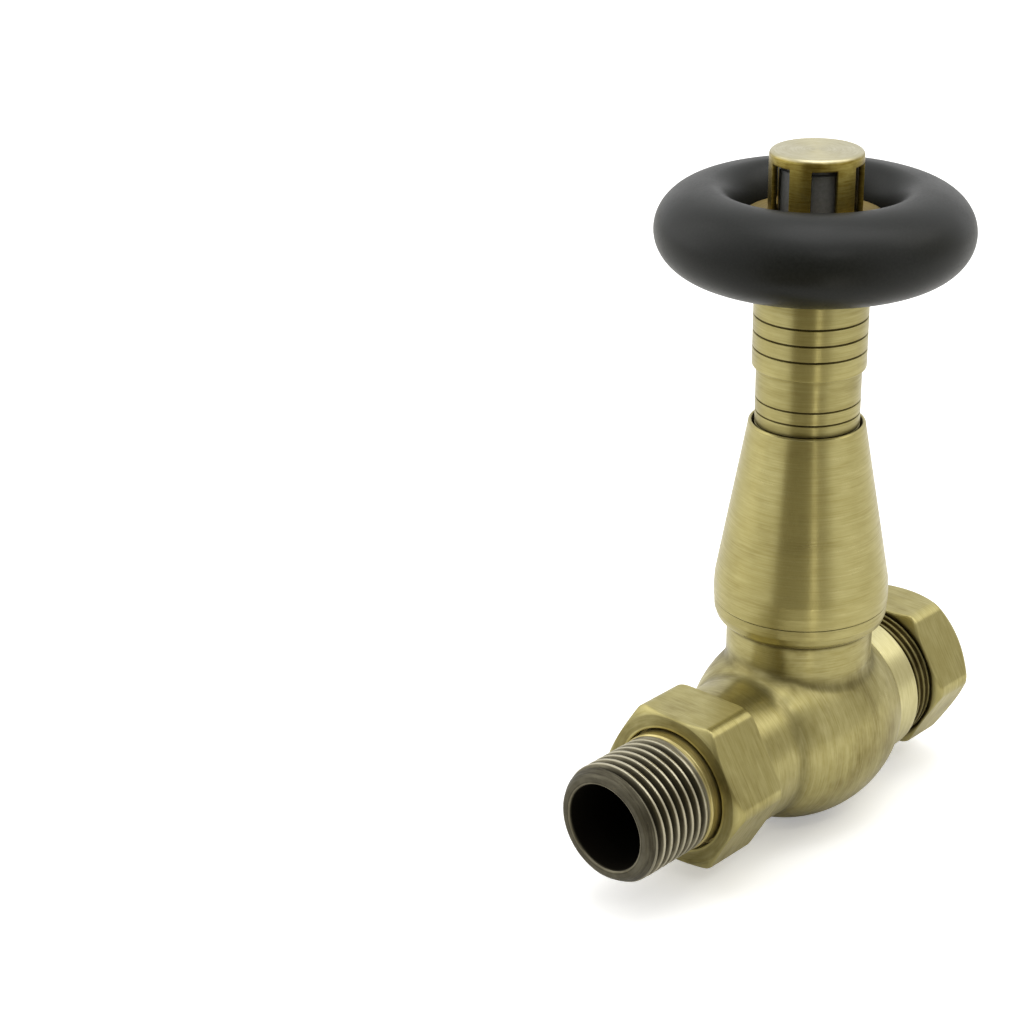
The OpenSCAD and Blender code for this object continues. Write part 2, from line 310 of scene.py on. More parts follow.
class Graph:
    def __init__(self, name):
        self.mat = bpy.data.materials.new(name)
        self.mat.use_nodes = True
        self.t = self.mat.node_tree
        self.b = self.t.nodes["Principled BSDF"]
        self.count = 0

    def node(self, kind, **props):
        n = self.t.nodes.new(kind)
        for k, v in props.items():
            setattr(n, k, v)
        n.location = (-260 * (1 + self.count // 6), -220 * (self.count % 6))
        self.count += 1
        return n

    def link(self, a, b):
        self.t.links.new(a, b)

    def put(self, socket, v):
        if hasattr(v, "is_output"):
            self.link(v, socket)
        else:
            socket.default_value = v

    def math(self, op, a, b=0.0, c=None, clamp=False):
        n = self.node("ShaderNodeMath", operation=op, use_clamp=clamp)
        self.put(n.inputs[0], a)
        self.put(n.inputs[1], b)
        if c is not None:
            self.put(n.inputs[2], c)
        return n.outputs[0]

    def vec(self, x, y, z):
        n = self.node("ShaderNodeCombineXYZ")
        for s, v in zip(n.inputs, (x, y, z)):
            self.put(s, v)
        return n.outputs[0]

    def noise(self, vector, scale=1.0, detail=2.0, rough=0.5, distort=0.0):
        n = self.node("ShaderNodeTexNoise")
        n.inputs["Scale"].default_value = scale
        n.inputs["Detail"].default_value = detail
        n.inputs["Roughness"].default_value = rough
        n.inputs["Distortion"].default_value = distort
        self.link(vector, n.inputs["Vector"])
        return n.outputs["Fac"]

    def ramp(self, fac, *stops):
        n = self.node("ShaderNodeValToRGB")
        r = n.color_ramp
        while len(r.elements) < len(stops):
            r.elements.new(0.5)
        for e, (pos, col) in zip(r.elements, stops):
            e.position = pos
            e.color = (*col, 1) if len(col) == 3 else col
        self.link(fac, n.inputs[0])
        return n.outputs[0]

    def span(self, v, a, b, c, d):
        n = self.node("ShaderNodeMapRange")
        self.put(n.inputs[0], v)
        for i, x in zip((1, 2, 3, 4), (a, b, c, d)):
            n.inputs[i].default_value = x
        return n.outputs[0]

    def mix(self, fac, a, b, blend="MIX"):
        n = self.node("ShaderNodeMix", data_type="RGBA", blend_type=blend)
        self.put(n.inputs[0], fac)
        self.put(n.inputs[6], a if hasattr(a, "is_output") else (*a, 1))
        self.put(n.inputs[7], b if hasattr(b, "is_output") else (*b, 1))
        return n.outputs[2]

    def bump(self, height, strength, dist_mm):
        n = self.node("ShaderNodeBump")
        n.inputs["Strength"].default_value = strength
        n.inputs["Distance"].default_value = dist_mm * MM
        self.link(height, n.inputs["Height"])
        self.link(n.outputs[0], self.b.inputs["Normal"])

    def place(self, seed=0.0):
        """Object coordinates in mm, split into x, y, z."""
        tc = self.node("ShaderNodeTexCoord")
        m = self.node("ShaderNodeMapping")
        m.inputs["Scale"].default_value = (1000, 1000, 1000)
        m.inputs["Location"].default_value = (seed, seed * 1.7, seed * 0.6)
        self.link(tc.outputs["Object"], m.inputs["Vector"])
        s = self.node("ShaderNodeSeparateXYZ")
        self.link(m.outputs[0], s.inputs[0])
        raw = self.node("ShaderNodeSeparateXYZ")
        k = self.node("ShaderNodeVectorMath", operation="SCALE")
        self.link(tc.outputs["Object"], k.inputs[0])
        k.inputs["Scale"].default_value = 1000
        self.link(k.outputs[0], raw.inputs[0])
        return s.outputs, raw.outputs


def brushed(name, axis, hi, lo, dark, rough=0.34, aniso=0.75, line=5.0, length=0.09, bump=0.16, seed=0.0, contrast=1.0, faces=True, pale=None, twin=False, stain=0.0):
    """Turned and brushed metal: lines run round the axis, fine along it."""
    g = Graph(name)
    p, raw = g.place(seed)
    if axis == "Z":
        s, u, v = p[2], p[0], p[1]
        ru, rv = raw[0], raw[1]
        order = lambda a, b, c: (b, c, a)
    else:
        s, u, v = p[0], p[1], p[2]
        ru, rv = raw[1], raw[2]
        order = lambda a, b, c: (a, b, c)
    r = g.math("SQRT", g.math("ADD", g.math("MULTIPLY", ru, ru), g.math("MULTIPLY", rv, rv)))
    geo = g.node("ShaderNodeTexCoord")
    sn = g.node("ShaderNodeSeparateXYZ")
    g.link(geo.outputs["Normal"], sn.inputs[0])
    flat = g.span(g.math("ABSOLUTE", sn.outputs[2 if axis == "Z" else 0]), 0.75, 0.9, 0.0, 1.0)
    # across the lines: the station on a turned wall, the radius on a faced end
    along = g.math("ADD", g.math("MULTIPLY", s, g.math("SUBTRACT", 1.0, flat)), g.math("MULTIPLY", r, flat)) if faces else s
    uu, vv = g.math("MULTIPLY", u, length), g.math("MULTIPLY", v, length)
    fine = g.noise(g.vec(*order(g.math("MULTIPLY", along, line), uu, vv)), 1.0, 3.0, 0.62)
    uu2, vv2 = g.math("MULTIPLY", u, length * 2.6), g.math("MULTIPLY", v, length * 2.6)
    broad = g.noise(g.vec(*order(g.math("MULTIPLY", along, line * 0.28), uu2, vv2)), 1.0, 2.0, 0.5)
    if twin:
        # the neck was brushed round the spindle's axis
        neck = g.node("ShaderNodeAttribute", attribute_name="neck").outputs["Fac"]
        nu, nv = g.math("MULTIPLY", p[0], length), g.math("MULTIPLY", p[1], length)
        fine = g.math("ADD", g.math("MULTIPLY", fine, g.math("SUBTRACT", 1.0, neck)),
                      g.math("MULTIPLY", g.noise(g.vec(nu, nv, g.math("MULTIPLY", p[2], line)), 1.0, 3.0, 0.62), neck))
        nu, nv = g.math("MULTIPLY", p[0], length * 2.6), g.math("MULTIPLY", p[1], length * 2.6)
        broad = g.math("ADD", g.math("MULTIPLY", broad, g.math("SUBTRACT", 1.0, neck)),
                       g.math("MULTIPLY", g.noise(g.vec(nu, nv, g.math("MULTIPLY", p[2], line * 0.28)), 1.0, 2.0, 0.5), neck))
    cloud = g.noise(g.vec(*order(s, u, v)), 0.11, 3.0, 0.55)
    grime_and_shade = g.node("ShaderNodeAttribute", attribute_name="grime_and_shade").outputs["Fac"]
    lines = g.math("ADD", g.math("MULTIPLY", fine, 0.66), g.math("MULTIPLY", broad, 0.34))
    tone = g.span(lines, 0.5 - 0.24 / contrast, 0.5 + 0.20 / contrast, 0.0, 1.0)
    col = g.mix(tone, lo, hi)
    col = g.mix(g.span(cloud, 0.36, 0.66, 0.0, 0.35), col, lo)
    if stain:
        brown = g.noise(g.vec(*order(g.math("MULTIPLY", s, 1.7), u, v)), 0.075, 4.0, 0.6)
        worn = tuple(0.42 * c for c in lo[:1]) + tuple(0.36 * c for c in lo[1:2]) + tuple(0.25 * c for c in lo[2:])
        col = g.mix(g.math("MULTIPLY", g.span(brown, 0.50, 0.72, 0.0, stain), g.span(lines, 0.35, 0.65, 1.0, 0.55)), col, worn)
    if pale:
        disc = g.node("ShaderNodeAttribute", attribute_name="pale").outputs["Fac"]
        col = g.mix(disc, col, g.mix(tone, pale[0], pale[1]))
    # painted shade: this attribute darkens the brass toward DK in seams, grooves, bores and under other parts, with a
    # little grime tint in the creases
    deep = g.math("MULTIPLY", grime_and_shade, g.span(broad, 0.3, 0.7, 1.15, 0.85), clamp=True)
    col = g.mix(deep, col, dark)
    g.link(col, g.b.inputs["Base Color"])
    g.b.inputs["Metallic"].default_value = 1.0
    rr = g.math("ADD", g.span(lines, 0.3, 0.7, rough + 0.07, rough - 0.06), g.math("MULTIPLY", grime_and_shade, 0.12))
    rr = g.math("ADD", rr, g.span(cloud, 0.3, 0.7, -0.03, 0.03))
    g.link(rr, g.b.inputs["Roughness"])
    g.b.inputs["Anisotropic"].default_value = aniso
    g.b.inputs["Anisotropic Rotation"].default_value = 0.25
    t = g.node("ShaderNodeTangent", direction_type="RADIAL", axis=axis)
    if twin:
        t2 = g.node("ShaderNodeTangent", direction_type="RADIAL", axis="Z")
        mx = g.node("ShaderNodeMix", data_type="VECTOR")
        g.link(neck, mx.inputs[0])
        g.link(t.outputs[0], mx.inputs[4])
        g.link(t2.outputs[0], mx.inputs[5])
        g.link(mx.outputs[1], g.b.inputs["Tangent"])
    else:
        g.link(t.outputs[0], g.b.inputs["Tangent"])
    g.bump(lines, bump, 0.05)
    return g.mat


# --------------------------------------------------------------- materials

HI = (0.495, 0.445, 0.205)
LO = (0.345, 0.295, 0.105)
# DK is the dark of the painted shade laid into seams, grooves and bores
DK = (0.035, 0.024, 0.007)
brass_z = brushed("antique_brass_turned", "Z", HI, LO, DK, seed=3.1, stain=0.35)
brass_cone = brushed("antique_brass_cone", "Z", HI, LO, DK, seed=9.4, rough=0.33, stain=0.3)
brass_x = brushed("antique_brass_body", "X", (0.475, 0.425, 0.20), (0.335, 0.288, 0.105), DK, rough=0.33, aniso=0.7, line=3.6, length=0.16, seed=5.7, contrast=1.25, twin=True, stain=0.75, pale=((0.52, 0.47, 0.225), (0.66, 0.605, 0.33)))
brass_nut = brushed("antique_brass_nut", "X", HI, LO, DK, rough=0.36, aniso=0.7, line=3.4, length=0.14, seed=1.3, contrast=1.2, stain=0.55)
brass_cap = brushed("antique_brass_cap", "Z", (0.42, 0.345, 0.10), (0.19, 0.132, 0.018), DK, rough=0.36, aniso=0.6, line=3.4, length=0.3, seed=6.9, contrast=1.4, pale=((0.45, 0.41, 0.25), (0.54, 0.505, 0.34)))
brass_hub = brushed("satin_brass_hub", "Z", (0.72, 0.55, 0.20), (0.54, 0.39, 0.12), DK, rough=0.34, seed=2.2)
brass_plain = brushed("machined_brass", "Z", (0.78, 0.60, 0.26), (0.62, 0.45, 0.17), DK, rough=0.28, line=6.0, seed=8.8)
brass_plain_x = brushed("machined_brass_x", "X", (0.78, 0.60, 0.26), (0.62, 0.45, 0.17), DK, rough=0.28, line=6.0, seed=4.8)
steel = brushed("stainless_turned", "Z", (0.60, 0.60, 0.60), (0.42, 0.42, 0.43), (0.05, 0.05, 0.05), rough=0.27, line=7.0, seed=7.3)


def bronze():
    g = Graph("dark_bronze_thread")
    p, raw = g.place(4.4)
    r = g.math("SQRT", g.math("ADD", g.math("MULTIPLY", raw[1], raw[1]), g.math("MULTIPLY", raw[2], raw[2])))
    fine = g.noise(g.vec(g.math("MULTIPLY", p[0], 4.0), g.math("MULTIPLY", p[1], 0.25), g.math("MULTIPLY", p[2], 0.25)), 1.0, 3.0, 0.6)
    spot = g.noise(g.vec(p[0], p[1], p[2]), 1.6, 3.0, 0.6)
    crest = g.node("ShaderNodeAttribute", attribute_name="crest").outputs["Fac"]
    clean = g.node("ShaderNodeAttribute", attribute_name="clean").outputs["Fac"]
    grime_and_shade = g.node("ShaderNodeAttribute", attribute_name="grime_and_shade").outputs["Fac"]
    base = g.mix(g.span(fine, 0.35, 0.65, 0.0, 1.0), (0.115, 0.103, 0.070), (0.190, 0.174, 0.122))
    # painted highlight along the thread crests and round the rim's edge
    base = g.mix(g.span(crest, 0.86, 1.0, 0.0, 1.0), base, (0.50, 0.465, 0.345))
    base = g.mix(g.span(spot, 0.62, 0.75, 0.0, 0.5), base, (0.27, 0.225, 0.12))
    brass = g.mix(g.span(fine, 0.35, 0.65, 0.0, 1.0), (0.40, 0.33, 0.125), (0.60, 0.52, 0.24))
    base = g.mix(clean, base, brass)
    # painted shade in the thread roots and the bore, toward near black; the rim chamfer is darkened the same way
    base = g.mix(grime_and_shade, base, (0.012, 0.010, 0.007))
    g.link(base, g.b.inputs["Base Color"])
    g.b.inputs["Metallic"].default_value = 1.0
    g.link(g.math("ADD", g.span(fine, 0.3, 0.7, 0.42, 0.30), g.math("MULTIPLY", grime_and_shade, 0.3)), g.b.inputs["Roughness"])
    g.b.inputs["Anisotropic"].default_value = 0.4
    g.b.inputs["Anisotropic Rotation"].default_value = 0.25
    t = g.node("ShaderNodeTangent", direction_type="RADIAL", axis="X")
    g.link(t.outputs[0], g.b.inputs["Tangent"])
    g.bump(g.math("ADD", g.math("MULTIPLY", fine, 0.7), g.math("MULTIPLY", spot, 0.3)), 0.2, 0.05)
    return g.mat


def plastic(name, a, b, rough, grain=3.0, bump=0.2, dist=0.03, specular=0.5, seed=0.0):
    g = Graph(name)
    p, raw = g.place(seed)
    v = g.vec(p[0], p[1], p[2])
    fine = g.noise(v, grain, 2.0, 0.5)
    cloud = g.noise(v, 0.13, 3.0, 0.5)
    col = g.mix(g.span(fine, 0.35, 0.65, 0.0, 1.0), a, b)
    col = g.mix(g.span(cloud, 0.35, 0.65, 0.0, 0.4), col, a)
    g.link(col, g.b.inputs["Base Color"])
    rr = g.math("ADD", g.span(cloud, 0.3, 0.7, rough - 0.03, rough + 0.04), g.span(fine, 0.3, 0.7, -0.03, 0.03))
    g.link(rr, g.b.inputs["Roughness"])
    g.b.inputs["Specular IOR Level"].default_value = specular
    g.bump(fine, bump, dist)
    return g.mat


thread_bronze = bronze()
black = plastic("satin_black_handwheel", (0.0085, 0.0092, 0.0080), (0.0118, 0.0126, 0.0110), 0.36, grain=2.4, bump=0.08, dist=0.03, specular=0.20)
grey = plastic("grey_capsule", (0.125, 0.129, 0.132), (0.160, 0.165, 0.168), 0.42, grain=2.0, bump=0.3, seed=2.0)
ivory = plastic("ivory_plastic", (0.62, 0.59, 0.49), (0.69, 0.66, 0.56), 0.45, grain=2.2, bump=0.2, seed=5.0)
rubber = plastic("seal_rubber", (0.010, 0.010, 0.010), (0.018, 0.018, 0.018), 0.62, grain=5.0, bump=0.35, specular=0.35, seed=1.0)


def wear(ob, mat, body, slot, *nodes):
    ob.data.materials.clear()
    ob.data.materials.append(mat)
    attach(ob, body)
    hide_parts(*nodes)
    return ob


# ------------------------------------------------------------ head, turned

# bead ring under the cover
# painted shade in the seam under the cone and towards the bead's foot on the valve body
ring = turned("head_union_bead", [
    (12.47, 20.2, 0.1), (12.9, 20.08, 0.1), (13.6, 20.3, 0.8), (14.6, 21.2, 1.0), (15.05, 22.5, 0.9), (15.1, 23.4, 0.3),
    (15.1, 24.29, 0.10), (12.47, 24.29, 0.1)], n=256, seg=7,
    attrs={"grime_and_shade": lambda R, S, A: np.maximum(0.25 * np.exp(-((S - 24.3) / 0.10) ** 2), 0.8 * step01(-S, -20.7, -20.1))})
wear(ring, brass_z, "valve", "antique_brass", "head_union_ring")

# painted shade in the seam at the cone's foot and inside the lip of its top opening
cone = turned("cone_cover", [
    (14.2, 24.41, 0.1), (15.19, 24.41, 0.12), (15.22, 26.4, 1.5), (15.1, 28.5, 2.4), (14.45, 32.2, 6.0), (10.12, 56.45, 1.0),
    (10.0, 57.2, 0.22), (9.62, 57.5, 0.18), (9.4, 57.3, 0.10), (9.4, 54.5, 0.2), (14.2, 27.6, 0.4)], n=256, seg=9,
    attrs={"grime_and_shade": lambda R, S, A: np.maximum(0.2 * np.exp(-((S - 24.35) / 0.10) ** 2), 0.95 * (R < 9.7) * step01(-S, -57.45, -57.1))})
wear(cone, brass_cone, "valve", "antique_brass", "cone_shroud")


def groove(r, z, w, d):
    return [(r, z - w, 0.05), (r - d, z - w * 0.45, 0.05), (r - d, z + w * 0.45, 0.05), (r, z + w, 0.05)]


low = [(7.9, 23.06, 0.1), (12.25, 23.06, 0.1), (12.25, 24.2, 0.1), (8.96, 24.2, 0.2)]
for z in (57.2, 59.42, 61.74):
    low += groove(8.96, z, 0.17, 0.26)
low += [(8.96, 85.55, 0.15), (7.9, 85.55, 0.15)]
# painted shade in the three grooves, where the sleeve enters the cone, and towards the top under the outer sleeve
lower = turned("inner_sleeve", low, n=224, seg=4,
               attrs={"grime_and_shade": lambda R, S, A: np.maximum(near((57.2, 59.42, 61.74), 0.13)(R, S, A), 0.5 * near((57.7,), 0.5)(R, S, A)) * (R > 8)
                      + 0.35 * step01(S, 65.6, 67.4) * (R > 8)})
wear(lower, brass_z, "valve", "antique_brass", "lower_sleeve")

up = [(9.02, 67.4, 0.1), (9.69, 67.4, 0.28)]
for z in (70.83, 73.69, 76.55):
    up += groove(9.69, z, 0.18, 0.28)
up += [(9.69, 86.85, 0.1), (9.02, 86.85, 0.1)]
# painted shade in the three grooves and in a band under the handwheel
upper = turned("outer_sleeve", up, n=224, seg=4,
               attrs={"grime_and_shade": lambda R, S, A: np.maximum(near((70.83, 73.69, 76.55), 0.14)(R, S, A), 0.5 * step01(S, 82.5, 84.3)) * (R > 9.2)})
wear(upper, brass_z, "wheel", "antique_brass", "upper_sleeve")

# handwheel: the CAD section, drawn fine and eased where the dish meets its floor
Rm, Zm, RO, RI, HH = 17.6, 91.08, 8.96, 5.1, 7.58
tf = math.asin((92.7 - Zm) / HH)
tb = math.asin((84.3 - Zm) / HH)
wheel_pts = [(Rm + RO * math.cos(t), Zm + HH * math.sin(t)) for t in np.radians(np.arange(-90, 90.1, 2.0))]
wheel_pts += [(Rm - RI * math.cos(t), Zm + HH * math.sin(t)) for t in np.linspace(math.pi / 2, tf, 34)[1:-1]]
wheel_pts += [(Rm - RI * math.cos(tf) + 0.15, 92.78, 0.5), (11.6, 92.7, 0.12), (11.6, 84.32, 0.12)]
wheel_pts += [(Rm - RI * math.cos(t), Zm + HH * math.sin(t)) for t in np.linspace(tb, -math.pi / 2, 10)[1:-1]]
wheel = turned("handwheel_rim", wheel_pts, n=288, seg=6)
wear(wheel, black, "wheel", "black_handwheel", "handwheel")

# painted shade along the hub's inner edge beside the cap and its outer edge against the wheel
hub = turned("hub_ring", [(8.1, 90.8, 0.1), (8.1, 93.75, 0.2), (11.53, 93.75, 0.35), (11.53, 84.42, 0.2), (9.71, 84.42, 0.1), (9.71, 87.02, 0.05), (9.03, 87.02, 0.05), (9.03, 90.8, 0.1)],
             n=192, seg=5, attrs={"grime_and_shade": lambda R, S, A: 0.5 * np.exp(-((R - 8.1) / 0.3) ** 2) + 0.35 * np.exp(-((R - 11.55) / 0.12) ** 2)})
wear(hub, brass_hub, "wheel", "bright_brass", "wheel_hub")


def cap():
    """The cap: a turned cup whose skirt has six windows, their edges broken by a small bevel."""
    n, first = 360, 46.5 - 16
    zw0, zw1 = 91.5, 102.6
    outer = [(6.85, 89.0), (6.95, 89.0), (8.8, 89.0), (8.9, 89.1), (8.9, 90.65), (8.8, 90.75), (8.0, 90.75), (7.85, 90.8), (7.8, 90.95), (7.8, 91.2)]
    outer += [(7.8, zw0 + (zw1 - zw0) * i / 26) for i in range(27)]
    outer += [(7.8, 102.9), (7.8, 103.3)]
    outer += [(7.0 + 0.8 * math.cos(t), 103.7 + 0.8 * math.sin(t)) for t in np.linspace(0, math.pi / 2, 12)]
    outer += [(r, 104.5) for r in (6.7, 6.0, 5, 4, 3, 2, 1, 0.0)]
    inner = [(0.0, 103.0)] + [(r, 103.0) for r in (2.0, 4.0, 6.0, 6.6)] + [(6.85, 102.85)]
    inner += [(6.85, zw1 - (zw1 - zw0) * i / 26) for i in range(27)] + [(6.85, 90.0)]
    prof = outer + inner
    k = len(prof)
    ks = outer.index((7.8, zw0))
    ki = len(outer) + inner.index((6.85, zw1))
    bm = bmesh.new()
    grid = []
    for r, z in prof:
        if r == 0:
            grid.append([bm.verts.new((0, 0, z * MM))] * n)
            continue
        grid.append([bm.verts.new((r * MM * math.cos(math.radians(first + j)), r * MM * math.sin(math.radians(first + j)), z * MM)) for j in range(n)])
    top, under = len(outer) - 1, len(outer)
    is_hole = lambda j: (j % 60) < 32
    for i in range(k):
        a, b = grid[i], grid[(i + 1) % k]
        if i == top:
            continue
        for j in range(n):
            m = (j + 1) % n
            if is_hole(j) and (ks <= i < ks + 26 or ki <= i < ki + 26):
                continue
            q = [a[j], a[m], b[m], b[j]]
            q = [v for t, v in enumerate(q) if v not in q[:t]]
            bm.faces.new(q)
    for w in range(6):
        j0, j1 = w * 60, (w * 60 + 32) % n
        for i in range(26):
            o, p_ = ks + i, ki + 26 - i
            bm.faces.new([grid[o][j0], grid[o + 1][j0], grid[p_ - 1][j0], grid[p_][j0]])
            bm.faces.new([grid[o][j1], grid[p_][j1], grid[p_ - 1][j1], grid[o + 1][j1]])
        for j in range(32):
            a, b = (j0 + j) % n, (j0 + j + 1) % n
            bm.faces.new([grid[ks][a], grid[ki + 26][a], grid[ki + 26][b], grid[ks][b]])
            bm.faces.new([grid[ks + 26][a], grid[ks + 26][b], grid[ki][b], grid[ki][a]])
    bmesh.ops.recalc_face_normals(bm, faces=bm.faces)
    edges = [e for e in bm.edges if len(e.link_faces) == 2 and e.calc_face_angle() > math.radians(60)
             and all(91.4 < v.co.z / MM < 102.7 for v in e.verts)]
    bmesh.ops.bevel(bm, geom=edges, offset=0.09 * MM, segments=2, profile=0.5, affect="EDGES")
    me = bpy.data.meshes.new("windowed_cap_shell")
    bm.to_mesh(me)
    bm.free()
    me.polygons.foreach_set("use_smooth", np.ones(len(me.polygons), bool))
    me.set_sharp_from_angle(angle=math.radians(38))
    co = np.zeros(len(me.vertices) * 3)
    me.vertices.foreach_get("co", co)
    co = co.reshape(-1, 3) / MM
    r = np.hypot(co[:, 0], co[:, 1])
    # painted shade over the inside of the cup and towards the foot of the skirt inside the hub ring
    inside = step01(-r, -7.3, -7.0) * (co[:, 2] < 103.2)
    grime_and_shade = np.maximum(0.8 * inside, 0.35 * step01(-co[:, 2], -94.5, -92.0))
    disc = step01(co[:, 2], 103.9, 104.4)
    for key, v in (("grime_and_shade", grime_and_shade), ("pale", disc)):
        at = me.attributes.new(key, "FLOAT", "POINT")
        at.data.foreach_set("value", v.astype(np.float32))
    ob = bpy.data.objects.new("windowed_cap_shell", me)
    bpy.context.scene.collection.objects.link(ob)
    return ob


wear(cap(), brass_cap, "wheel", "antique_brass", "windowed_cap")

caps = turned("sensor_body", [(0, 86.6), (4.2, 86.6, 0.2), (4.2, 87.4, 0.1), (6.1, 87.4, 0.3), (6.1, 101.5, 0.3), (5.4, 101.6, 0.1), (5.4, 102.4, 0.3), (0, 102.4)],
              n=160, seg=5, closed=False)
wear(caps, grey, "sensor", "grey_plastic", "sensor_capsule")

# --------------------------------------------------------------- the nuts


def hex_shape(af, k_edge, k_corner, bore=None, pitch=1.5, turn=0.0, s0=0, s1=0, face_shade=0.4):
    def f(R, S, A):
        a = np.mod(A - turn + math.pi / 6, math.pi / 3) - math.pi / 6
        d0 = (af / 2) / np.cos(a)
        d1 = (af / 2) / np.cos(math.pi / 3 - np.abs(a))
        flat = smin(d0, d1, k_corner)
        out = np.where(R > af / 2 - 1.5, smin(R, flat, k_edge), R)
        wave = thread_wave(S, A, pitch)
        if bore is not None:
            fade = step01(S, s0, s0 + 0.6) * step01(-S, -s1, -s1 + 0.6)
            cut = (np.abs(R - bore) < 0.02) * fade
            out = out + cut * (0.42 * (1 - wave))
        # painted shade inside the threaded bore
        grime_and_shade = np.where((R < bore + 0.05) & (S > s0 - 0.9) & (S < s1 + 0.5) & ((S > -34.6) | (S > 0)), 0.75, 0.0) * (np.abs(R - bore) < 1.6)
        face = (S < s0 - 1.9) if s0 < 0 else (S < s0 + 0.1)
        # painted shade on the front face, standing for the dark floor reflected in it
        grime_and_shade = np.maximum(grime_and_shade, np.where(face & (R > bore - 1.0), face_shade * step01(-R, -af / 2 - 0.9, -af / 2 + 0.5), 0.0))
        return out, {"grime_and_shade": grime_and_shade}
    return f


rc = 27 / 2 / math.cos(math.pi / 6)
union = turned("union_nut_shell", [
    (11.05, -35.0, 0.22), (rc - 2.1, -35.0, 0.12), (rc - 0.1, -33.8, 0.25), (rc - 0.1, -24.0, 0.2), (rc - 0.5, -23.7, 0.2),
    (12.5, -23.7, 0.35), (12.5, -32.75, 0.2), (11.05, -32.75, 0.2)], axis="X", n=540, seg=5, step=0.17,
    shape=hex_shape(27, 0.6, 1.5, bore=12.5, turn=math.pi / 6, s0=-32.6, s1=-24.0))
wear(union, brass_nut, "union_nut_body", "antique_brass", "union_nut")

rc2 = 26.2 / 2 / math.cos(math.pi / 6)
comp = turned("compression_nut_shell", [
    (7.85, 36.3, 0.3), (7.85, 35.0, 0.15), (8.3, 35.0, 0.1), (10.4, 33.0, 0.2), (12.55, 33.0, 0.2), (12.55, 24.0, 0.35),
    (rc2 - 2.0, 24.0, 0.15), (rc2 - 0.1, 25.1, 0.25), (rc2 - 0.1, 32.7, 0.7), (11.3, 36.3, 0.7)], axis="X", n=540, seg=6, step=0.17,
    shape=hex_shape(26.2, 0.7, 1.5, bore=12.55, turn=math.pi / 6, s0=24.3, s1=33.0, face_shade=0.9))
wear(comp, brass_nut, "compression_nut_body", "antique_brass", "compression_nut")

# ---------------------------------------------------------- radiator tail


def tail_shape(R, S, A):
    pitch, root, crest = 1.814, 9.316, 10.478
    wave = thread_wave(S, A, pitch)
    end = step01(S, -38.5, -37.2)
    floor = root + (crest - 0.15 - root) * end
    top = np.minimum(crest, 10.1 + np.maximum(S + 50.9, 0) * 0.6)
    floor = np.maximum(floor, root + (10.1 - root) * (1 - step01(S, -50.9, -50.2)))
    r = floor + (top - floor) * np.clip(wave, 0, 1)
    r = np.minimum(r, top)
    live = (S > -50.9) & (S < -37.1) & (R > 9.2)
    out = np.where(live, np.minimum(r, 10.478), R)
    # painted highlight on the thread crests
    crest_highlight = np.where(live, wave * (out > 9.9), 0.0)
    # painted highlight: a thin bright line round the rim's edge
    rim_highlight = np.where(~live & (S < -51.9) & (R > 8.2), 0.88, 0.0)
    clean = step01(S, -37.35, -36.9) * (R > 9.0)
    # painted shade inside the bore and in the thread roots; the rim chamfer band is darker too
    inside = (R < 7.8) * step01(S, -52.3, -51.6) * 1.0
    deep = np.where(live, 0.85 * step01(-(out - root), -0.75, -0.02), 0.0)
    band = 0.52 * step01(-S, 50.3, 50.7) * (R > 8.0)
    return out, {"crest": np.maximum(crest_highlight, rim_highlight), "clean": clean, "grime_and_shade": np.maximum(np.maximum(inside, deep), band)}


tail = turned("tail_threaded", [
    (7.7, -52.3, 0.3), (8.95, -52.3, 0.2), (9.45, -51.95, 0.25), (10.1, -50.95, 0.25), (10.1, -50.7, 0.0), (10.478, -50.0, 0.0), (10.478, -37.2, 0.05),
    (10.3, -37.0, 0.1), (10.62, -36.7, 0.15), (10.62, -32.70, 0.1), (11.93, -32.70, 0.12), (11.93, -31.07, 0.15), (9.0, -31.07, 0.1),
    (9.0, -29.6, 0.08), (8.3, -29.6, 0.08), (8.3, -27.9, 0.08), (9.0, -27.9, 0.08), (9.0, -26.7, 0.15), (8.6, -26.32, 0.1), (7.7, -26.32, 0.15)],
    axis="X", n=420, seg=5, step=0.09, shape=tail_shape)
wear(tail, thread_bronze, "tail_piece", "dark_brass", "radiator_tail")

olive = turned("olive_ring", [(7.62, 29.72, 0.1), (8.0, 29.72, 0.1), (9.3, 31.3, 0.5), (9.3, 32.2, 0.5), (7.98, 33.88, 0.1), (7.62, 33.88, 0.1)], axis="X", n=160, seg=6)
wear(olive, brass_plain_x, "olive_body", "bright_brass", "olive")

# ------------------------------------------------------------- valve body


def cyl(s, r, s0, s1, rad, k):
    q0 = np.abs(s - (s0 + s1) / 2) - (s1 - s0) / 2 + k
    q1 = r - rad + k
    return np.minimum(np.maximum(q0, q1), 0) + np.hypot(np.maximum(q0, 0), np.maximum(q1, 0)) - k


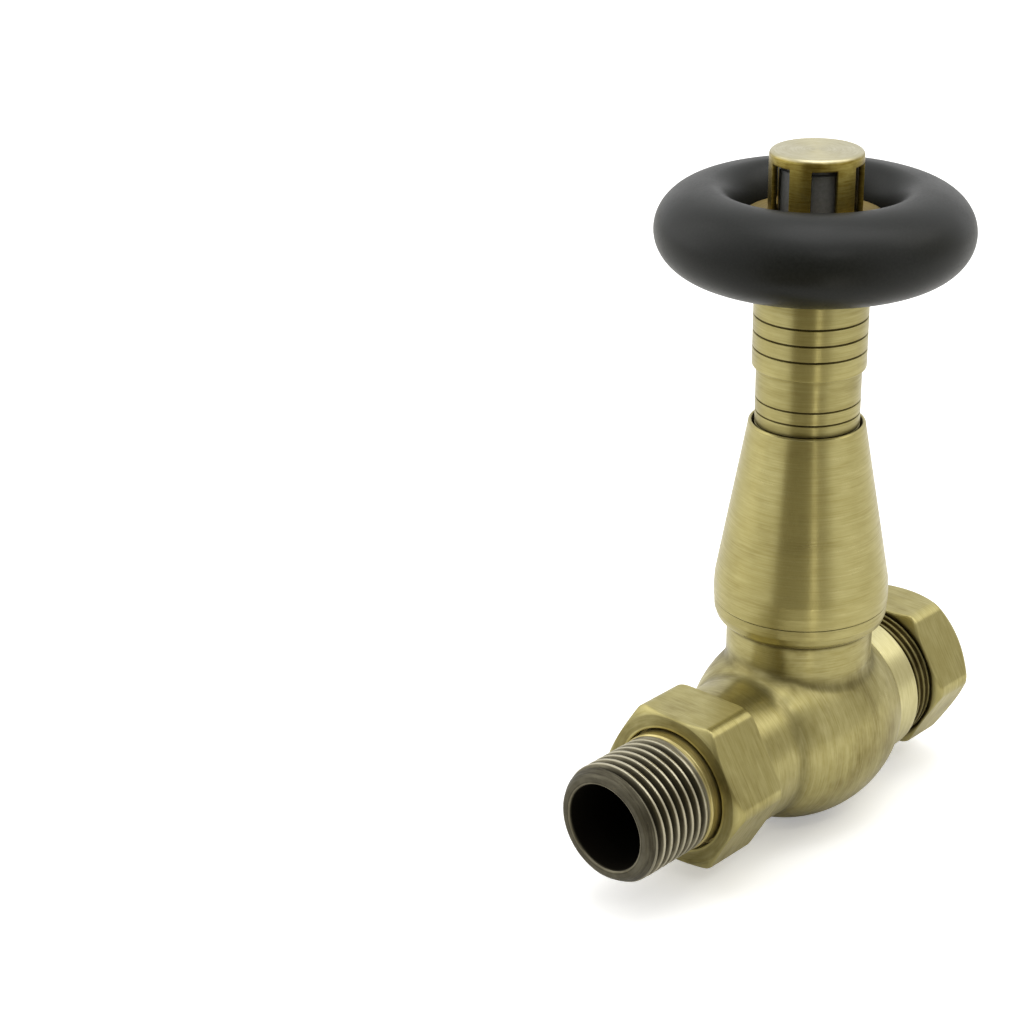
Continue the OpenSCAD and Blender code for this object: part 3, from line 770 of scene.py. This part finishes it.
def body(X, Y, Z):
    rx = np.hypot(Y, Z)
    rz = np.hypot(X, Y)
    ang = np.arctan2(Z, Y)
    barrel = np.hypot(X, rx + 8.9) - 26.3
    barrel = smax(barrel, X - 12.75, 0.5)
    barrel = np.maximum(barrel, -17.5 - X)
    boss = cyl(X, rx, -23.4, -2, 12.9, 0.45)
    main = smin(barrel, boss, 0.7)
    neck = cyl(Z, rz, -2, 20.05, 12.8, 0.2)
    d = smin(main, neck, 0.95)
    # behind the neck the turning tool left it a plain wall standing clear of the collar
    slit = np.maximum(np.maximum(12.8 - rz, rz - 13.75), np.maximum(13.9 - Z, 8.2 - X))
    d = np.maximum(d, -slit)
    collar = cyl(X, rx, 6, 19.0, 13.5, 0.45)
    collar = np.maximum(collar, -cyl(X, -rx, 12.72, 13.3, -13.0, 0.05))
    d = np.minimum(d, collar)
    w = thread_wave(X, ang, 1.5)
    rear = np.maximum(np.maximum(rx - (11.85 + 0.6 * w), np.maximum(18 - X, X - 30)), rx - 12.45 - (30 - X) * 1.0)
    d = np.minimum(d, rear * 0.85)
    front = np.maximum(rx - (11.75 + 0.6 * w), np.maximum(-31 - X, X + 23.2))
    front = np.maximum(front, rx - 11.75 - (X + 31) * 1.0)
    d = np.minimum(d, front * 0.85)
    w2 = thread_wave(Z, np.arctan2(Y, X), 1.5)
    d = np.minimum(d, np.maximum(rz - (11.8 + 0.5 * w2), np.maximum(19 - Z, Z - 23)) * 0.85)
    # bores
    cut = cyl(X, rx, -33, -26, 9.1, 0.05)
    cut = np.minimum(cut, cyl(X, rx, -28, -6.5, 7.0, 0.3))
    cut = np.minimum(cut, cyl(X, rx, 17, 33, 7.6, 0.2))
    cut = np.minimum(cut, np.maximum((rx - 7.6 - (X - 29.0)) * 0.707, 28 - X))
    cut = np.minimum(cut, cyl(X, rx, -4.5, 19, 5.2, 0.3))
    cut = np.minimum(cut, cyl(Z, rz, 6.2, 26, 9.0, 0.2))
    cut = np.minimum(cut, cyl(Z, rz, 0, 8, 4.5, 0.2))
    return smax(d, -cut, 0.3)


c_ = 0.30
f_ = 0.16
P, Q, N = nets(body,
               spans((-31.6, -23.6, f_), (-23.6, -22.6, 0.2), (-22.6, 12.2, c_), (12.2, 13.8, 0.11), (13.8, 18.2, c_), (18.2, 19.6, 0.14), (19.6, 30.6, f_)),
               spans((-18.0, 18.0, c_)),
               spans((-18.0, 13.0, c_), (13.0, 18.8, 0.25), (18.8, 23.6, f_ * 1.3)))
rxp = np.hypot(P[:, 1], P[:, 2])
rzp = np.hypot(P[:, 0], P[:, 1])
grime_and_shade = np.zeros(len(P))
# painted shade in the collar groove, on the threads under both nuts (lighter on their crests), round the neck top under
# the bead ring and in the bores
grime_and_shade = np.maximum(grime_and_shade, 0.85 * np.exp(-((P[:, 0] - 13.0) / 0.22) ** 2) * (rxp > 12.6))
grime_and_shade = np.maximum(grime_and_shade, 0.93 * step01(P[:, 0], 19.0, 19.3) * (rxp > 11) * (1 - 0.5 * step01(rxp, 12.25, 12.44)))
grime_and_shade = np.maximum(grime_and_shade, 0.75 * step01(-P[:, 0], 23.2, 23.5) * (rxp > 11) * (1 - 0.55 * step01(rxp, 12.0, 12.3)))
grime_and_shade = np.maximum(grime_and_shade, 0.80 * np.exp(-((P[:, 2] - 20.0) / 0.5) ** 2) * (rzp > 12) * (rzp < 13.4))
inner = (rxp < 9.2) & ((P[:, 0] < -15) | (P[:, 0] > 14)) | (rzp < 9.1)
grime_and_shade = np.maximum(grime_and_shade, 0.7 * inner)
neck_at = step01(P[:, 2], 12.2, 14.2) * (1 - step01(P[:, 0], 12.0, 13.0) * (rzp > 13.6))
# painted shade with a brown patina tint lies in the creases where the neck and the front boss run into the globe
barrel_at = np.hypot(P[:, 0], rxp + 8.9) - 26.3
boss_at = np.where(P[:, 0] > -23.6, rxp - 12.9, 5.0)
neck_in = rzp - 12.8
main_at = np.minimum(barrel_at, boss_at)
grime_and_shade = np.maximum(grime_and_shade, 0.50 * np.exp(-(main_at ** 2 + neck_in ** 2) / 1.3 ** 2) * (P[:, 2] > 0))
grime_and_shade = np.maximum(grime_and_shade, 0.42 * np.exp(-(barrel_at ** 2 + boss_at ** 2) / 0.7 ** 2) * (P[:, 0] < 0))
bright = step01(P[:, 0], 13.15, 13.5) * (1 - step01(P[:, 0], 18.7, 19.1))
vb = add_mesh("valve_body_casting", P, Q, N, {"grime_and_shade": grime_and_shade, "neck": neck_at, "pale": bright})
wear(vb, brass_x, "valve", "antique_brass", "valve_body")

# ------------------------------------------------- pieces that stay as CAD

finish = {
    "valve_insert": brass_plain, "gland_nut": brass_plain, "disc_holder": brass_plain, "spring_seat": brass_plain,
    "tail_o_ring": rubber, "insert_o_ring": rubber, "gland_o_ring": rubber, "disc_washer": rubber,
    "valve_pin": steel, "pin_collar": steel, "push_rod": steel, "return_spring": steel, "overtravel_spring": steel,
    "capsule_seat": ivory, "rod_guide": ivory, "shroud_spacer": ivory,
}
for key, mat in finish.items():
    ob = NODES[key]
    ob.data.materials.clear()
    ob.data.materials.append(mat)

# ------------------------------------------------------------------ stage

FLOOR = -17.4 * MM


def plane(name, w, z):
    me = bpy.data.meshes.new(name)
    me.from_pydata([(-w, -w, z), (w, -w, z), (w, w, z), (-w, w, z)], [], [(0, 1, 2, 3)])
    ob = bpy.data.objects.new(name, me)
    bpy.context.scene.collection.objects.link(ob)
    return ob


floor = plane("studio_floor", 6.0, FLOOR - 0.0002)
g = Graph("pale_floor")
p, raw = g.place()
pale = g.mix(g.span(g.noise(g.vec(p[0], p[1], p[2]), 0.01, 2.0), 0.3, 0.7, 0.0, 1.0), (0.95, 0.95, 0.947), (0.965, 0.965, 0.963))
# painted light and shade on the sweep as the valve sees it: painted pale near the valve, falling off into painted shade
# towards the dim wall
turn = g.math("ADD", g.math("DIVIDE", g.math("ARCTAN2", raw[1], raw[0]), 2 * math.pi), 0.5)
sector = g.ramp(turn, (0.0, (0.5,) * 3), (4 / 360, (1,) * 3), (51 / 360, (1,) * 3), (72 / 360, (0.55,) * 3), (84 / 360, (0,) * 3), (348 / 360, (0,) * 3), (356 / 360, (0.2,) * 3))
away = g.math("SQRT", g.math("ADD", g.math("MULTIPLY", raw[0], raw[0]), g.math("MULTIPLY", raw[1], raw[1])))
far = g.node("ShaderNodeMapRange", interpolation_type="SMOOTHSTEP")
g.link(away, far.inputs[0])
far.inputs[1].default_value = 105
far.inputs[2].default_value = 150
dim = g.math("MULTIPLY", sector, far.outputs[0])
lit = g.mix(dim, (0.80, 0.795, 0.77), (0.21, 0.182, 0.10))
# the camera sees the even pale floor; only other rays see the painted light and shade
path = g.node("ShaderNodeLightPath")
g.link(g.mix(path.outputs["Is Camera Ray"], lit, pale), g.b.inputs["Base Color"])
g.b.inputs["Roughness"].default_value = 0.8
g.b.inputs["Specular IOR Level"].default_value = 0.1
# painted glow: the floor emits light for camera rays only, which washes out its shadows
g.b.inputs["Emission Color"].default_value = (1, 1, 1, 1)
g.link(g.math("MULTIPLY", path.outputs["Is Camera Ray"], 0.30), g.b.inputs["Emission Strength"])
floor.data.materials.append(g.mat)

world = bpy.data.worlds.new("studio")
bpy.context.scene.world = world
world.use_nodes = True
wt = world.node_tree
bg = wt.nodes["Background"]
tc = wt.nodes.new("ShaderNodeTexCoord")
sep = wt.nodes.new("ShaderNodeSeparateXYZ")
wt.links.new(tc.outputs["Generated"], sep.inputs[0])


def wmath(op, a, b=None):
    n = wt.nodes.new("ShaderNodeMath")
    n.operation = op
    for k, v in enumerate((a, b)):
        if v is None:
            continue
        if hasattr(v, "is_output"):
            wt.links.new(v, n.inputs[k])
        else:
            n.inputs[k].default_value = v
    return n.outputs[0]


# a pale studio: white all round and overhead, with one dim stretch of wall
azimuth = wmath("ADD", wmath("DIVIDE", wmath("ARCTAN2", sep.outputs[1], sep.outputs[0]), 2 * math.pi), 0.5)
wall = wt.nodes.new("ShaderNodeValToRGB")
wt.links.new(azimuth, wall.inputs[0])
# (degrees past azimuth 180, brightness)
stops = [(0, 0.5), (4, 0.21), (51, 0.21), (60, 0.36), (72, 0.45), (84, 0.95), (112, 0.90), (124, 0.62), (146, 0.60), (162, 1.0), (350, 1.0), (356, 0.85)]
ramp_el = wall.color_ramp
while len(ramp_el.elements) < len(stops):
    ramp_el.elements.new(0.5)
for e_, (deg, v) in zip(ramp_el.elements, stops):
    e_.position = deg / 360
    e_.color = (v, v * (0.90 + 0.10 * v), v * (0.60 + 0.40 * v), 1)
high = wt.nodes.new("ShaderNodeMapRange")
high.interpolation_type = "SMOOTHSTEP"
wt.links.new(sep.outputs[2], high.inputs[0])
high.inputs[1].default_value = 0.52
high.inputs[2].default_value = 0.90
sky = wt.nodes.new("ShaderNodeMix")
sky.data_type = "RGBA"
wt.links.new(high.outputs[0], sky.inputs[0])
wt.links.new(wall.outputs[0], sky.inputs[6])
sky.inputs[7].default_value = (1.1, 1.1, 1.1, 1)
seen = wt.nodes.new("ShaderNodeLightPath")
backdrop = wt.nodes.new("ShaderNodeMix")
backdrop.data_type = "RGBA"
wt.links.new(seen.outputs["Is Camera Ray"], backdrop.inputs[0])
wt.links.new(sky.outputs[2], backdrop.inputs[6])
backdrop.inputs[7].default_value = (1.0, 1.0, 1.0, 1)
wt.links.new(backdrop.outputs[2], bg.inputs["Color"])
bg.inputs["Strength"].default_value = 1.05


def area(name, loc, target, size, power, color=(1, 1, 1), size_y=None):
    li = bpy.data.lights.new(name, "AREA")
    li.energy = power
    li.color = color
    li.shape = "RECTANGLE"
    li.size = size
    li.size_y = size_y or size
    ob = bpy.data.objects.new(name, li)
    bpy.context.scene.collection.objects.link(ob)
    ob.location = loc
    d = Vector(target) - Vector(loc)
    ob.rotation_euler = d.to_track_quat("-Z", "Y").to_euler()
    return ob


mid = (0, 0, 0.04)
area("softbox_left", (-0.35, 0.65, 0.45), mid, 0.6, 1.3, (1.0, 0.99, 0.96), 0.8)
area("softbox_right", (0.38, -0.42, 0.72), mid, 0.45, 1.3, (1.0, 0.99, 0.96), 0.6)
area("softbox_top", (0.05, 0.0, 0.9), mid, 0.6, 2.8)
# a narrow lamp beside the camera, and its streak along the glossy table
side = math.radians(233)
area("small_lamp", (0.62 * math.cos(side), 0.62 * math.sin(side), 0.70), mid, 0.035, 0.34)
streak = area("table_streak", (0.44 * math.cos(side), 0.44 * math.sin(side), -0.0168), (0, 0, 1), 0.022, 0.13, (1.0, 0.98, 0.92), 0.62)
streak.rotation_euler = (math.pi, 0, side + math.pi / 2)
streak.visible_camera = False

# ----------------------------------------------------------------- camera

rows = [(0.68591793, -0.7275572, -0.01330846), (0.29729147, 0.26349028, 0.91770946), (-0.66417948, -0.63342987, 0.39702925)]
cd = bpy.data.cameras.new("camera")
cd.sensor_width = 36.0
cd.lens = 2383.095 / 1024 * 36.0
cd.clip_start = 0.01
cd.clip_end = 50
cam = bpy.data.objects.new("camera", cd)
bpy.context.scene.collection.objects.link(cam)
m = Matrix([[rows[0][i], rows[1][i], rows[2][i]] for i in range(3)]).to_4x4()
m.translation = Vector((-0.30920682519, -0.22505526924, 0.20488580146))
cam.matrix_world = m
bpy.context.scene.camera = cam

vs = bpy.context.scene.view_settings
vs.view_transform = "Standard"
vs.look = "None"
vs.exposure = 0.0
vs.gamma = 1.0
